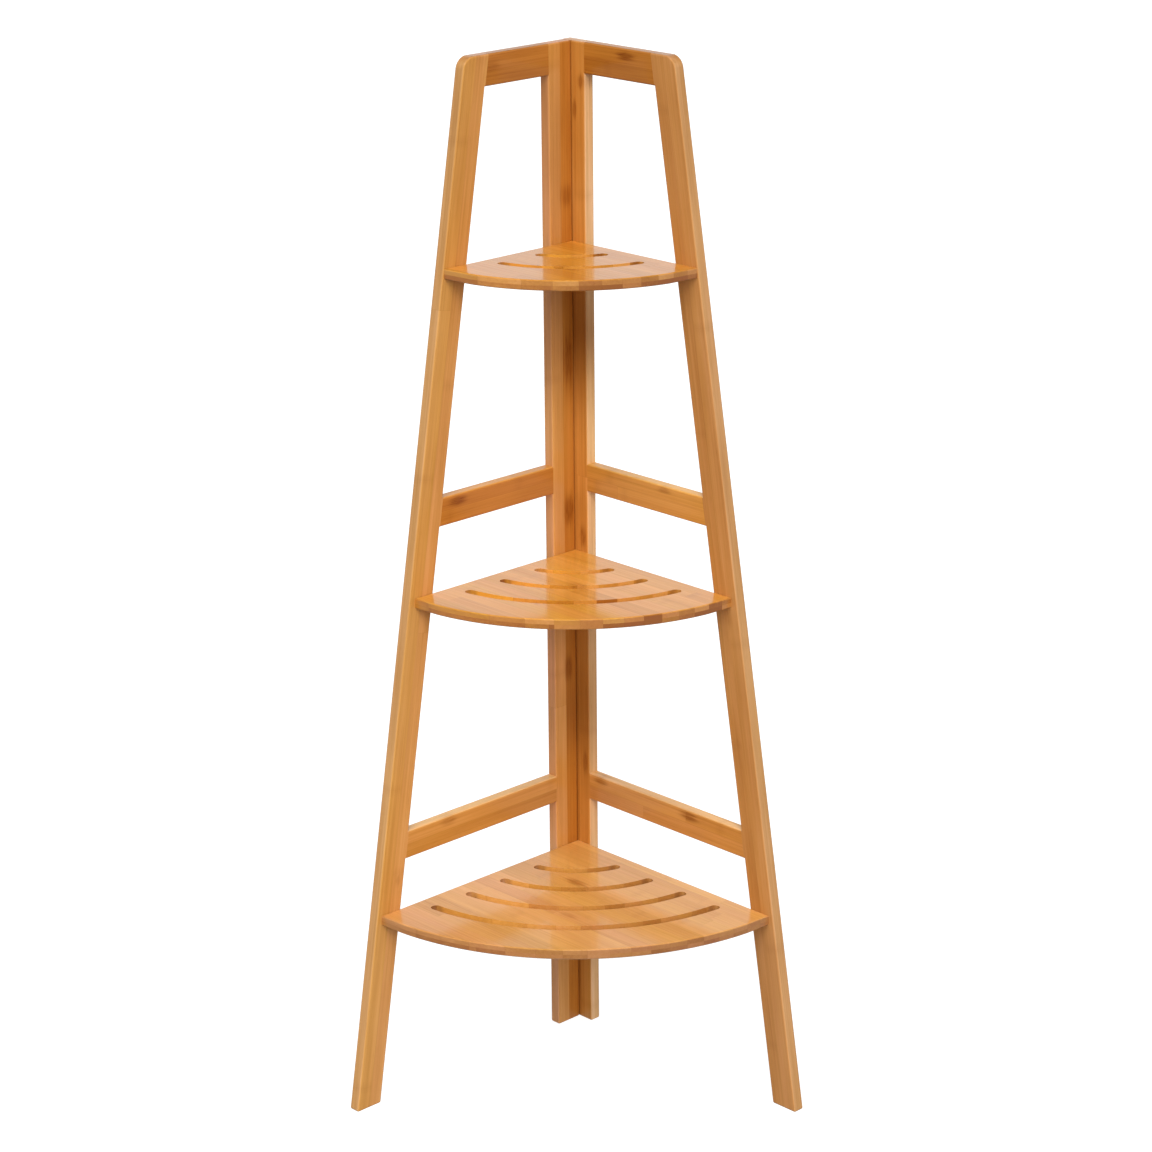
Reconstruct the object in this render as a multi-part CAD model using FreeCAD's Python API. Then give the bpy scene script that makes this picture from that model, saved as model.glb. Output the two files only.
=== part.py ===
import FreeCAD, Part
import math
import os

# Corner shelf: two flat side frames that meet at a right angle, with three quarter-round shelves between them.
# Millimetres, Z up, with the origin on the floor at the middle of the square footprint.
# The room corner is at -X, +Y. The left frame runs along -Y and the right frame runs along +X.

# Frame boards
TOTAL_HEIGHT = 1100.0
FOOT_REACH = 341.0
TOP_REACH = 159.5
BOARD_THICKNESS = 13.0
POST_WIDTH = 32.0
LEG_WIDTH = 32.0
TOP_RAIL_HEIGHT = 32.5
MIDDLE_RAIL_HEIGHT = 30.2
MIDDLE_RAIL_TOP = 652.2
LOWER_RAIL_HEIGHT = 30.2
LOWER_RAIL_TOP = 299.3
LEG_TOP_ROUND = 14.0
FOOT_CORNER_ROUND = 2.0
FRAME_ARRIS = 2.5

# Shelves
SHELF_THICKNESS = 11.0
SHELF_ARRIS = 1.5
TOP_SHELF_LEVEL = 891.5
MIDDLE_SHELF_LEVEL = 553.5
BOTTOM_SHELF_LEVEL = 215.2
TOP_SHELF_RADIUS = 180.0
MIDDLE_SHELF_RADIUS = 230.0
BOTTOM_SHELF_RADIUS = 287.0

# Drain slots: inset of the outermost slot's centre line from the round edge, and the step to the next one
SLOT_WIDTH = 10.8
SLOT_ARRIS = 1.2
SLOT_END_LAND = 18.0
TOP_SLOT_INSET = 55.5
TOP_SLOT_PITCH = 50.5
TOP_SLOT_COUNT = 2
MIDDLE_SLOT_INSET = 53.1
MIDDLE_SLOT_PITCH = 48.2
MIDDLE_SLOT_COUNT = 3
BOTTOM_SLOT_INSET = 53.4
BOTTOM_SLOT_PITCH = 49.0
BOTTOM_SLOT_COUNT = 4

# Dowels in the rail ends
DOWEL_DIAMETER = 6.0
DOWEL_LENGTH = 28.0
DOWEL_SPACING = 15.0
DOWEL_CHAMFER = 0.8
DOWEL_CLEARANCE = 0.1
DOWEL_END_CLEARANCE = 0.5

# Countersunk wood screws. The depth of the high post screw is measured down from the top edge.
SCREW_LENGTH = 30.0
SCREW_DIAMETER = 4.0
SCREW_CORE_DIAMETER = 2.8
SCREW_THREAD_PITCH = 1.8
SCREW_THREAD_LENGTH = 19.0
SCREW_POINT_LENGTH = 3.0
SCREW_HEAD_DIAMETER = 8.0
SCREW_HEAD_RIM = 0.5
SCREW_HEAD_RECESS = 0.4
SCREW_CLEARANCE = 0.15
DRIVE_SLOT_LENGTH = 4.4
DRIVE_SLOT_WIDTH = 0.9
DRIVE_SLOT_DEPTH = 1.6
LEFT_SHELF_SCREW_OFFSET = 21.0
RIGHT_SHELF_SCREW_OFFSET = 9.5
LOW_POST_SCREW_LEVEL = 110.0
MIDDLE_POST_SCREW_LEVEL = 430.0
HIGH_POST_SCREW_DEPTH = 90.0

OVERRUN = 5.0

# Worked out from the driving sizes
LEG_SLOPE = (FOOT_REACH - TOP_REACH) / TOTAL_HEIGHT
LEG_STRETCH = math.sqrt(1.0 + LEG_SLOPE**2)
LEG_RUN = LEG_WIDTH * LEG_STRETCH
ROUNDED_REACH = FOOT_REACH - FOOT_CORNER_ROUND * (LEG_SLOPE + LEG_STRETCH - 1.0)
CORNER = FreeCAD.Vector(-ROUNDED_REACH / 2.0, ROUNDED_REACH / 2.0, 0.0)
UP = FreeCAD.Vector(0.0, 0.0, 1.0)
RAIL_BANDS = {
    "top_rail": (TOTAL_HEIGHT - TOP_RAIL_HEIGHT, TOTAL_HEIGHT),
    "middle_rail": (MIDDLE_RAIL_TOP - MIDDLE_RAIL_HEIGHT, MIDDLE_RAIL_TOP),
    "lower_rail": (LOWER_RAIL_TOP - LOWER_RAIL_HEIGHT, LOWER_RAIL_TOP),
}
SHELVES = {
    "top_shelf": (TOP_SHELF_LEVEL, TOP_SHELF_RADIUS, TOP_SLOT_INSET, TOP_SLOT_PITCH, TOP_SLOT_COUNT),
    "middle_shelf": (
        MIDDLE_SHELF_LEVEL,
        MIDDLE_SHELF_RADIUS,
        MIDDLE_SLOT_INSET,
        MIDDLE_SLOT_PITCH,
        MIDDLE_SLOT_COUNT,
    ),
    "bottom_shelf": (
        BOTTOM_SHELF_LEVEL,
        BOTTOM_SHELF_RADIUS,
        BOTTOM_SLOT_INSET,
        BOTTOM_SLOT_PITCH,
        BOTTOM_SLOT_COUNT,
    ),
}


class Side:
    """One side of the corner: where its frame starts, the way it runs, and the way its inner face looks."""

    def __init__(self, name, along, inward, start):
        self.name = name
        self.along = along
        self.inward = inward
        self.start = start

    def point(self, reach, depth, height):
        """A point at a reach from the wall corner, a depth from the wall plane and a height."""
        return CORNER + self.along * reach + self.inward * depth + UP * height


# The right post runs through to the wall corner, and the left post butts against its inner face.
LEFT = Side("left", FreeCAD.Vector(0.0, -1.0, 0.0), FreeCAD.Vector(1.0, 0.0, 0.0), BOARD_THICKNESS)
RIGHT = Side("right", FreeCAD.Vector(1.0, 0.0, 0.0), FreeCAD.Vector(0.0, -1.0, 0.0), 0.0)


def leg_front(height):
    """Reach of a leg's front edge at a height."""
    return FOOT_REACH - LEG_SLOPE * height


def leg_rear(height):
    """Reach of a leg's rear edge at a height."""
    return leg_front(height) - LEG_RUN


def prism(side, outline, low_depth, high_depth):
    """A straight-sided solid over an outline of (reach, height) pairs."""
    points = [side.point(reach, low_depth, height) for reach, height in outline]
    face = Part.Face(Part.makePolygon(points + points[:1]))
    return face.extrude(side.inward * (high_depth - low_depth))


def board(side, outline):
    """A prism as thick as the frame boards."""
    return prism(side, outline, 0.0, BOARD_THICKNESS)


def crossing_edges(side, solid, spots):
    """The edges that cross the board's thickness at the given (reach, height) spots."""
    found = []
    for edge in solid.Edges:
        for reach, height in spots:
            middle = side.point(reach, BOARD_THICKNESS / 2.0, height)
            if edge.CenterOfMass.distanceToPoint(middle) < FRAME_ARRIS / 10.0:
                found.append(edge)
    return found


def rim_edges(side, solid):
    """The edges that lie in the wall face or in the inner face of a frame."""
    found = []
    for edge in solid.Edges:
        depths = [(vertex.Point - CORNER).dot(side.inward) for vertex in edge.Vertexes]
        for plane in (0.0, BOARD_THICKNESS):
            if all(abs(depth - plane) < FRAME_ARRIS / 100.0 for depth in depths):
                found.append(edge)
    return found


def whole_frame(side):
    """The glued frame before it is told apart into members: outline, openings and rounded arrises."""
    inner = side.start + POST_WIDTH
    low_rail_bottom, low_rail_top = RAIL_BANDS["lower_rail"]
    mid_rail_bottom, mid_rail_top = RAIL_BANDS["middle_rail"]
    top_rail_bottom, top_rail_top = RAIL_BANDS["top_rail"]
    outline = [
        (side.start, 0.0),
        (inner, 0.0),
        (inner, low_rail_bottom),
        (leg_rear(low_rail_bottom), low_rail_bottom),
        (leg_rear(0.0), 0.0),
        (leg_front(0.0), 0.0),
        (leg_front(TOTAL_HEIGHT), TOTAL_HEIGHT),
        (side.start, TOTAL_HEIGHT),
    ]
    frame = board(side, outline)
    for low, high in ((low_rail_top, mid_rail_bottom), (mid_rail_top, top_rail_bottom)):
        opening = [(inner, low), (leg_rear(low), low), (leg_rear(high), high), (inner, high)]
        frame = frame.cut(prism(side, opening, -OVERRUN, BOARD_THICKNESS + OVERRUN))
    crown = crossing_edges(side, frame, [(leg_front(TOTAL_HEIGHT), TOTAL_HEIGHT)])
    frame = frame.makeFillet(LEG_TOP_ROUND, crown)
    foot_spots = [(side.start, 0.0), (inner, 0.0), (leg_rear(0.0), 0.0), (leg_front(0.0), 0.0)]
    frame = frame.makeFillet(FOOT_CORNER_ROUND, crossing_edges(side, frame, foot_spots))
    return frame.makeFillet(FRAME_ARRIS, rim_edges(side, frame))


def member_region(side, member):
    """The block of space that one member of a frame takes up."""
    low, high = -OVERRUN, TOTAL_HEIGHT + OVERRUN
    inner = side.start + POST_WIDTH
    if member == "post":
        outline = [(side.start - OVERRUN, low), (inner, low), (inner, high), (side.start - OVERRUN, high)]
    elif member == "leg":
        outline = [
            (leg_rear(low), low),
            (leg_front(low) + OVERRUN, low),
            (leg_front(high) + OVERRUN, high),
            (leg_rear(high), high),
        ]
    else:
        bottom, top = RAIL_BANDS[member]
        bottom -= OVERRUN
        top += OVERRUN
        outline = [(inner, bottom), (leg_rear(bottom), bottom), (leg_rear(top), top), (inner, top)]
    return prism(side, outline, -OVERRUN, BOARD_THICKNESS + OVERRUN)


def dowel_seats(side, member):
    """Each dowel of a rail as (start point, direction): two at the post and two at the leg."""
    bottom, top = RAIL_BANDS[member]
    middle = (bottom + top) / 2.0
    seats = []
    for height in (middle - DOWEL_SPACING / 2.0, middle + DOWEL_SPACING / 2.0):
        for joint in (side.start + POST_WIDTH, leg_rear(height)):
            first = side.point(joint - DOWEL_LENGTH / 2.0, BOARD_THICKNESS / 2.0, height)
            seats.append((first, side.along))
    return seats


def dowel(start, direction):
    """A wooden dowel with chamfered ends."""
    solid = Part.makeCylinder(DOWEL_DIAMETER / 2.0, DOWEL_LENGTH, start, direction)
    rims = [edge for edge in solid.Edges if isinstance(edge.Curve, Part.Circle)]
    return solid.makeChamfer(DOWEL_CHAMFER, rims)


def dowel_bore(start, direction):
    """The bore that a dowel is glued into, through both of the members that it joins."""
    radius = DOWEL_DIAMETER / 2.0 + DOWEL_CLEARANCE
    length = DOWEL_LENGTH + 2.0 * DOWEL_END_CLEARANCE
    return Part.makeCylinder(radius, length, start - direction * DOWEL_END_CLEARANCE, direction)


def screw_profile(margin):
    """Half section of a screw from its head to its point, as (radius, distance) pairs, grown by a margin."""
    head = SCREW_HEAD_DIAMETER / 2.0
    shank = SCREW_DIAMETER / 2.0
    rim_end = SCREW_HEAD_RECESS + SCREW_HEAD_RIM
    cone_end = rim_end + head - shank
    tip = SCREW_LENGTH - SCREW_POINT_LENGTH
    return [
        (0.0, SCREW_HEAD_RECESS),
        (head + margin, SCREW_HEAD_RECESS),
        (head + margin, rim_end + margin),
        (shank + margin, cone_end + margin),
        (shank + margin, tip),
        (0.0, SCREW_LENGTH + margin),
    ]


def turned(profile, start, direction):
    """A solid turned about the line from a start point, given as (radius, distance) pairs."""
    side_way = direction.cross(UP).normalize()
    points = [start + side_way * radius + direction * distance for radius, distance in profile]
    face = Part.Face(Part.makePolygon(points + points[:1]))
    return face.revolve(start, direction, 360.0)


def thread_grooves(start, direction):
    """The ring grooves that stand for the thread of a screw."""
    shank = SCREW_DIAMETER / 2.0
    core = SCREW_CORE_DIAMETER / 2.0
    grooves = []
    first = SCREW_LENGTH - SCREW_POINT_LENGTH - SCREW_THREAD_LENGTH
    count = int(SCREW_THREAD_LENGTH / SCREW_THREAD_PITCH)
    for turn in range(count):
        near = first + turn * SCREW_THREAD_PITCH
        far = near + SCREW_THREAD_PITCH
        crest = SCREW_THREAD_PITCH / 8.0
        profile = [
            (shank + OVERRUN, near + crest),
            (shank, near + crest),
            (core, near + SCREW_THREAD_PITCH * 3.0 / 8.0),
            (core, near + SCREW_THREAD_PITCH * 5.0 / 8.0),
            (shank, far - crest),
            (shank + OVERRUN, far - crest),
        ]
        grooves.append(turned(profile, start, direction))
    return grooves


def screw(start, direction):
    """A countersunk screw with a cross recess, its head just under the face that it enters at start."""
    solid = turned(screw_profile(0.0), start, direction)
    across = direction.cross(UP).normalize()
    cuts = thread_grooves(start, direction)
    for one, other in ((across, UP), (UP, across)):
        corner = start - one * (DRIVE_SLOT_LENGTH / 2.0) - other * (DRIVE_SLOT_WIDTH / 2.0)
        points = [
            corner,
            corner + one * DRIVE_SLOT_LENGTH,
            corner + one * DRIVE_SLOT_LENGTH + other * DRIVE_SLOT_WIDTH,
            corner + other * DRIVE_SLOT_WIDTH,
        ]
        face = Part.Face(Part.makePolygon(points + points[:1]))
        cuts.append(face.extrude(direction * (SCREW_HEAD_RECESS + DRIVE_SLOT_DEPTH)))
    return solid.cut(cuts)


def screw_bore(start, direction):
    """The countersunk bore that a screw passes through or bites into."""
    profile = screw_profile(SCREW_CLEARANCE)
    profile[0] = (0.0, -OVERRUN)
    profile[1] = (profile[1][0], -OVERRUN)
    return turned(profile, start, direction)


def shelf_screw_seats(level):
    """The four screws of one shelf: through both posts and both legs into its straight edges."""
    height = level - SHELF_THICKNESS / 2.0
    offsets = {"left": LEFT_SHELF_SCREW_OFFSET, "right": RIGHT_SHELF_SCREW_OFFSET}
    seats = []
    for side in (LEFT, RIGHT):
        seats.append((side.point(BOARD_THICKNESS + offsets[side.name], 0.0, height), side.inward))
        seats.append((side.point(leg_rear(height) + LEG_RUN / 2.0, 0.0, height), side.inward))
    return seats


def post_screw_seats():
    """The screws that join the posts: through the right post into the edge of the left post."""
    levels = (LOW_POST_SCREW_LEVEL, MIDDLE_POST_SCREW_LEVEL, TOTAL_HEIGHT - HIGH_POST_SCREW_DEPTH)
    return [(RIGHT.point(BOARD_THICKNESS / 2.0, 0.0, level), RIGHT.inward) for level in levels]


def shelf_point(radius, angle, level):
    """A point at a radius and angle about the inner corner, the angle turning from the right to the left frame."""
    centre = CORNER + (LEFT.inward + RIGHT.inward) * BOARD_THICKNESS
    turn = math.radians(angle)
    return centre + RIGHT.along * (radius * math.cos(turn)) + LEFT.along * (radius * math.sin(turn)) + UP * level


def arc(radius, first, last, level):
    """An arc about the inner corner between two angles."""
    middle = (first + last) / 2.0
    ends = [shelf_point(radius, angle, level) for angle in (first, middle, last)]
    return Part.Arc(*ends).toShape()


def slot_cutter(radius, level):
    """One arc-shaped slot with round ends, as deep as the shelf and an overrun each way."""
    half = SLOT_WIDTH / 2.0
    end_distance = SLOT_END_LAND + SLOT_ARRIS + half
    end_angle = math.degrees(math.asin(end_distance / radius))
    last_angle = 90.0 - end_angle
    past = math.degrees(half / radius)
    low = level - SHELF_THICKNESS - OVERRUN
    near_cap = Part.Arc(
        shelf_point(radius - half, end_angle, low),
        shelf_point(radius, end_angle - past, low),
        shelf_point(radius + half, end_angle, low),
    )
    far_cap = Part.Arc(
        shelf_point(radius + half, last_angle, low),
        shelf_point(radius, last_angle + past, low),
        shelf_point(radius - half, last_angle, low),
    )
    edges = [
        near_cap.toShape(),
        arc(radius + half, end_angle, last_angle, low),
        far_cap.toShape(),
        arc(radius - half, last_angle, end_angle, low),
    ]
    face = Part.Face(Part.Wire(edges))
    return face.extrude(UP * (SHELF_THICKNESS + 2.0 * OVERRUN))


def face_rims(solid, level):
    """The edges that lie in the top face or the bottom face of a shelf."""
    found = []
    for edge in solid.Edges:
        heights = [vertex.Point.z for vertex in edge.Vertexes]
        for plane in (level, level - SHELF_THICKNESS):
            if all(abs(height - plane) < SHELF_ARRIS / 100.0 for height in heights):
                found.append(edge)
    return found


def shelf(name):
    """A quarter-round shelf with its slots, arrises and screw bores."""
    level, radius, inset, pitch, count = SHELVES[name]
    low = level - SHELF_THICKNESS
    inner_corner = shelf_point(0.0, 0.0, low)
    outline = [
        Part.LineSegment(inner_corner, shelf_point(radius, 0.0, low)).toShape(),
        arc(radius, 0.0, 90.0, low),
        Part.LineSegment(shelf_point(radius, 90.0, low), inner_corner).toShape(),
    ]
    solid = Part.Face(Part.Wire(outline)).extrude(UP * SHELF_THICKNESS)
    solid = solid.makeFillet(SHELF_ARRIS, face_rims(solid, level))
    for index in range(count):
        solid = solid.cut(slot_cutter(radius - inset - index * pitch, level))
    slot_edges = [edge for edge in face_rims(solid, level) if is_slot_edge(edge, radius - inset)]
    solid = solid.makeFillet(SLOT_ARRIS, slot_edges)
    return solid.cut([screw_bore(start, direction) for start, direction in shelf_screw_seats(level)])


def is_slot_edge(edge, outer_slot_radius):
    """True for an edge of a slot's mouth, and false for the flat face's own outline."""
    centre = shelf_point(0.0, 0.0, edge.BoundBox.Center.z)
    return all(
        vertex.Point.distanceToPoint(centre) < outer_slot_radius + SLOT_WIDTH
        and min(
            (vertex.Point - centre).dot(RIGHT.along),
            (vertex.Point - centre).dot(LEFT.along),
        )
        > SLOT_END_LAND
        for vertex in edge.Vertexes
    )


def side_parts(side):
    """The post, leg and rails of one side with their bores, and the dowels that join them."""
    frame = whole_frame(side)
    bores = []
    parts = {}
    for member in RAIL_BANDS:
        seats = dowel_seats(side, member)
        bores += [dowel_bore(start, direction) for start, direction in seats]
        parts[f"{side.name}_{member}_dowels"] = [dowel(start, direction) for start, direction in seats]
    for level, *_ in SHELVES.values():
        bores += [screw_bore(start, direction) for start, direction in shelf_screw_seats(level)]
    bores += [screw_bore(start, direction) for start, direction in post_screw_seats()]
    for member in ("post", "leg", "top_rail", "middle_rail", "lower_rail"):
        blank = frame.common(member_region(side, member))
        parts[f"{side.name}_{member}"] = [blank.cut(bores)]
    return parts


def all_parts():
    """Every node of the corner shelf as a name and its solids."""
    parts = {}
    for side in (LEFT, RIGHT):
        parts.update(side_parts(side))
    for name in SHELVES:
        level = SHELVES[name][0]
        parts[name] = [shelf(name)]
        parts[f"{name}_screws"] = [screw(start, direction) for start, direction in shelf_screw_seats(level)]
    parts["post_screws"] = [screw(start, direction) for start, direction in post_screw_seats()]
    return parts


def main():
    """Write one file for each node."""
    os.makedirs("parts", exist_ok=True)
    for name, solids in all_parts().items():
        shape = solids[0] if len(solids) == 1 else Part.makeCompound(solids)
        shape.exportStep(f"parts/{name}.step")
        print(name, len(shape.Solids), shape.isValid(), round(shape.Volume, 1))


main()
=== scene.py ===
import logging
import math
from collections.abc import Callable
from dataclasses import dataclass
from enum import Enum

import bmesh
import bpy
from mathutils import Matrix, Vector


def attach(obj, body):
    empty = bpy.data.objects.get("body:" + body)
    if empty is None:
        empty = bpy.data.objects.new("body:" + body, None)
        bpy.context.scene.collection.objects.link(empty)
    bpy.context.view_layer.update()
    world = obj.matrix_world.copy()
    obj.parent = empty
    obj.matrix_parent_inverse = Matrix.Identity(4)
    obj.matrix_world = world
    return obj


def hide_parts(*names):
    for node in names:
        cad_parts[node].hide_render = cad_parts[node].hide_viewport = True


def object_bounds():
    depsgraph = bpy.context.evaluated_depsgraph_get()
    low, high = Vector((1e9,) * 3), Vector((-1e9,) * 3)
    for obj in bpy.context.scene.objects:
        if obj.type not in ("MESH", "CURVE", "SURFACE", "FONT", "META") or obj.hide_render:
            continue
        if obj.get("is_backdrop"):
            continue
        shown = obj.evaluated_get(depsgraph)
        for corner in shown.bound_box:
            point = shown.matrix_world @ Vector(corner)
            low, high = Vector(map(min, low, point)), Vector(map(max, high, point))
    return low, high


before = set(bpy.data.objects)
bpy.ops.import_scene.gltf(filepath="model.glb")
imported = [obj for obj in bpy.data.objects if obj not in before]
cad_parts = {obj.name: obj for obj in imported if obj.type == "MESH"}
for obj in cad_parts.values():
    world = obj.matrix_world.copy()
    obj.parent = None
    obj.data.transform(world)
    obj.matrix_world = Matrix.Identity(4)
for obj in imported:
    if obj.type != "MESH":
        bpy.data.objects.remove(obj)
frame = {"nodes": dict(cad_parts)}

# Corner shelf of lacquered bamboo: two flat side frames at a right angle, with three quarter-round shelves.
# Lengths are metres, except inside the finishes, where a board's own coordinates are millimetres.

LOG = logging.getLogger("corner_shelf")
UP = Vector((0.0, 0.0, 1.0))
ALONG_LEFT = Vector((0.0, -1.0, 0.0))
ALONG_RIGHT = Vector((1.0, 0.0, 0.0))
QUARTER_TURN = math.pi / 2.0
MILLIMETRES = 1000.0
TINY = 1e-5
BOARD_THICKNESS = 0.013
RIM_SEGMENTS = 4
SHARP_ANGLE = math.radians(35.0)
SQUARE_ON = 0.99

Material = bpy.types.Material
Piece = bpy.types.Object
Form = bmesh.types.BMesh
Edge = bmesh.types.BMEdge
Socket = bpy.types.NodeSocket
Value = Socket | float
Colour = tuple[float, float, float]

# Nearly all of a noise lies in this band.
NOISE_BAND = (0.3, 0.7)

# Each mark: the two values between which it changes, and its level at each. One level alone fades to 0.
SEAM = (0.5, 1.8, 0.4, 0.0)
RING_LINE = (0.3, 1.3, 0.13, 0.0)
RING_HALO = (1.0, 9.0, 0.09, 0.0)
KNUCKLE_HALO = (0.2, 1.35, 0.45)
KNUCKLE_CORE = (0.3, 1.0, 0.5)
KNUCKLE_DASHES = (0.44, 0.60, 0.35, 1.0)


class Member(Enum):
    """The boards of one side frame."""

    POST = "post"
    LEG = "leg"
    TOP_RAIL = "top_rail"
    MIDDLE_RAIL = "middle_rail"
    LOWER_RAIL = "lower_rail"


@dataclass(frozen=True)
class BoardAxes:
    """The way a board lies: its start, the way its grain runs and the way its strips lie side by side."""

    origin: Vector
    along: Vector
    across: Vector

    def rotation(self) -> Matrix:
        """The turn from the object's axes to the board's own, with the board's directions as its rows."""
        return Matrix((self.along, self.across, self.along.cross(self.across)))


class Graph:
    """The nodes of a material or of the world, with short calls for the kinds that they use."""

    def __init__(self, owner: Material | bpy.types.World) -> None:
        """Start with no nodes.

        Args:
            owner: The material or world that they belong to.
        """
        owner.use_nodes = True
        self.owner = owner
        self.tree = owner.node_tree
        self.tree.nodes.clear()

    def put(self, value: object, socket: Socket) -> None:
        """Link a socket, or set its own value.

        Args:
            value: An output to link, or a number, vector or colour to set.
            socket: The input that takes it.
        """
        if isinstance(value, bpy.types.NodeSocket):
            self.tree.links.new(value, socket)
        elif socket.type == "RGBA":
            socket.default_value = (*value, 1.0)
        else:
            socket.default_value = value

    def node(self, kind: str, inputs: dict[int | str, object], **settings: object) -> bpy.types.Node:
        """Add a node.

        Args:
            kind: The node's type.
            inputs: What its sockets take, by their name or place.
            settings: Values for the node's own settings.

        Returns:
            The new node.
        """
        made = self.tree.nodes.new(kind)
        for key, value in settings.items():
            setattr(made, key, value)
        for key, value in inputs.items():
            self.put(value, made.inputs[key])
        return made

    def math(self, operation: str, *values: Value, clamp: bool = False) -> Socket:
        """Work out a value from others, kept from 0 to 1 where clamp is set."""
        made = self.node("ShaderNodeMath", dict(enumerate(values)), operation=operation, use_clamp=clamp)
        return made.outputs[0]

    def distance(self, value: Socket, place: float) -> Socket:
        """How far a value is from a place."""
        return self.math("ABSOLUTE", self.math("SUBTRACT", value, place))

    def sway(self, level: Value, part: Socket, amount: Value, clamp: bool = False) -> Socket:
        """Move a level up or down by a part that is 0.5 on average, times an amount."""
        return self.math("MULTIPLY_ADD", self.math("SUBTRACT", part, 0.5), amount, level, clamp=clamp)

    def step(self, value: Value, low: float, high: float, start: float = 0.0, end: float = 1.0) -> Socket:
        """Ease from the level start, where a value is at low, to the level end, where it is at high."""
        inputs = dict(enumerate((value, low, high, start, end)))
        return self.node("ShaderNodeMapRange", inputs, interpolation_type="SMOOTHSTEP").outputs[0]

    def vector(self, x: Value, y: Value, z: Value) -> Socket:
        """Join three values into a vector."""
        return self.node("ShaderNodeCombineXYZ", {0: x, 1: y, 2: z}).outputs[0]

    def noise(self, vector: Socket, scale: float, detail: float, roughness: float = 0.5) -> Socket:
        """Smooth noise, 0.5 on average, with so many finer layers. Roughness is their strength."""
        inputs = {"Vector": vector, "Scale": scale, "Detail": detail, "Roughness": roughness}
        return self.node("ShaderNodeTexNoise", inputs).outputs[0]

    def chance(self, x: Value, y: Value, z: Value) -> Socket:
        """One random value from 0 to 1 for each whole-numbered place."""
        inputs = {"Vector": self.vector(x, y, z)}
        return self.node("ShaderNodeTexWhiteNoise", inputs, noise_dimensions="3D").outputs["Value"]

    def mix(self, share: Value, first: object, second: object, blend: str = "MIX") -> Socket:
        """Mix two colours, with this share of the second one."""
        inputs = {0: share, 6: first, 7: second}
        return self.node("ShaderNodeMix", inputs, data_type="RGBA", blend_type=blend).outputs[2]

    def tint(self, share: Value, colour: Socket, tint: object) -> Socket:
        """Multiply this share of a colour by a tint."""
        return self.mix(share, colour, self.mix(1.0, colour, tint, "MULTIPLY"))

    def ramp(self, value: Socket, stops: tuple[tuple[float, Colour], ...]) -> Socket:
        """Turn a value into a colour.

        Args:
            value: The value to read.
            stops: Pairs of a place from 0 to 1 and the colour there.

        Returns:
            The colour.
        """
        made = self.node("ShaderNodeValToRGB", {0: value})
        band = made.color_ramp.elements
        while len(band) < len(stops):
            band.new(1.0)
        for element, (place, colour) in zip(band, stops):
            element.position = place
            element.color = (*colour, 1.0)
        return made.outputs[0]

    def bump(self, height: Socket, strength: float, distance: float, **start: Socket) -> Socket:
        """Turn a height into a change of the normal. A height of 1 stands out by the distance, in metres."""
        inputs = {"Strength": strength, "Distance": distance, "Height": height, **start}
        return self.node("ShaderNodeBump", inputs).outputs[0]

    def board_place(self, axes: BoardAxes) -> tuple[Socket, Socket, Socket]:
        """Read the place on a board in its own directions.

        Args:
            axes: The way the board lies.

        Returns:
            Millimetres along the grain, across the strips and through the board.
        """
        turn = axes.rotation()
        inputs = {
            "Vector": self.node("ShaderNodeTexCoord", {}).outputs["Object"],
            "Scale": (MILLIMETRES,) * 3,
            "Rotation": turn.to_euler("XYZ"),
            "Location": -(turn @ axes.origin) * MILLIMETRES,
        }
        mapping = self.node("ShaderNodeMapping", inputs, vector_type="POINT")
        return tuple(self.node("ShaderNodeSeparateXYZ", {0: mapping.outputs[0]}).outputs)

    def surface(self, **values: object) -> Material:
        """Finish the material with its shader.

        Args:
            values: The shader's inputs, with underscores for spaces.

        Returns:
            The finished material.
        """
        inputs = {key.replace("_", " "): value for key, value in values.items()}
        shader = self.node("ShaderNodeBsdfPrincipled", inputs)
        self.node("ShaderNodeOutputMaterial", {0: shader.outputs[0]})
        return self.owner


@dataclass(frozen=True)
class Fibres:
    """Noise drawn out along the grain. The scales are its changes to the millimetre."""

    along: float
    across: float
    detail: float


STREAKS = Fibres(0.006, 0.42, 3.0)
LINES = Fibres(0.02, 1.7, 2.0)
CLOUDS = Fibres(0.008, 0.05, 1.0)
SPECKS = Fibres(0.07, 1.3, 1.0)
DRIFT = Fibres(0.004, 0.09, 1.0)


@dataclass(frozen=True)
class Knuckle:
    """A knuckle of the bamboo stem that shows on a board: a soft dark oval with short dashes in it."""

    along: float
    across: float
    length: float
    width: float
    strength: float


@dataclass(frozen=True)
class PaintedShadingStretch:
    """Painted shading on a stretch of a board, fading out both ways: a tint under 1 is painted shade, over 1
    painted light. Without a strip it covers them all.
    """

    along: float
    reach: float
    tint: Colour
    strip: float | None = None


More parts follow.
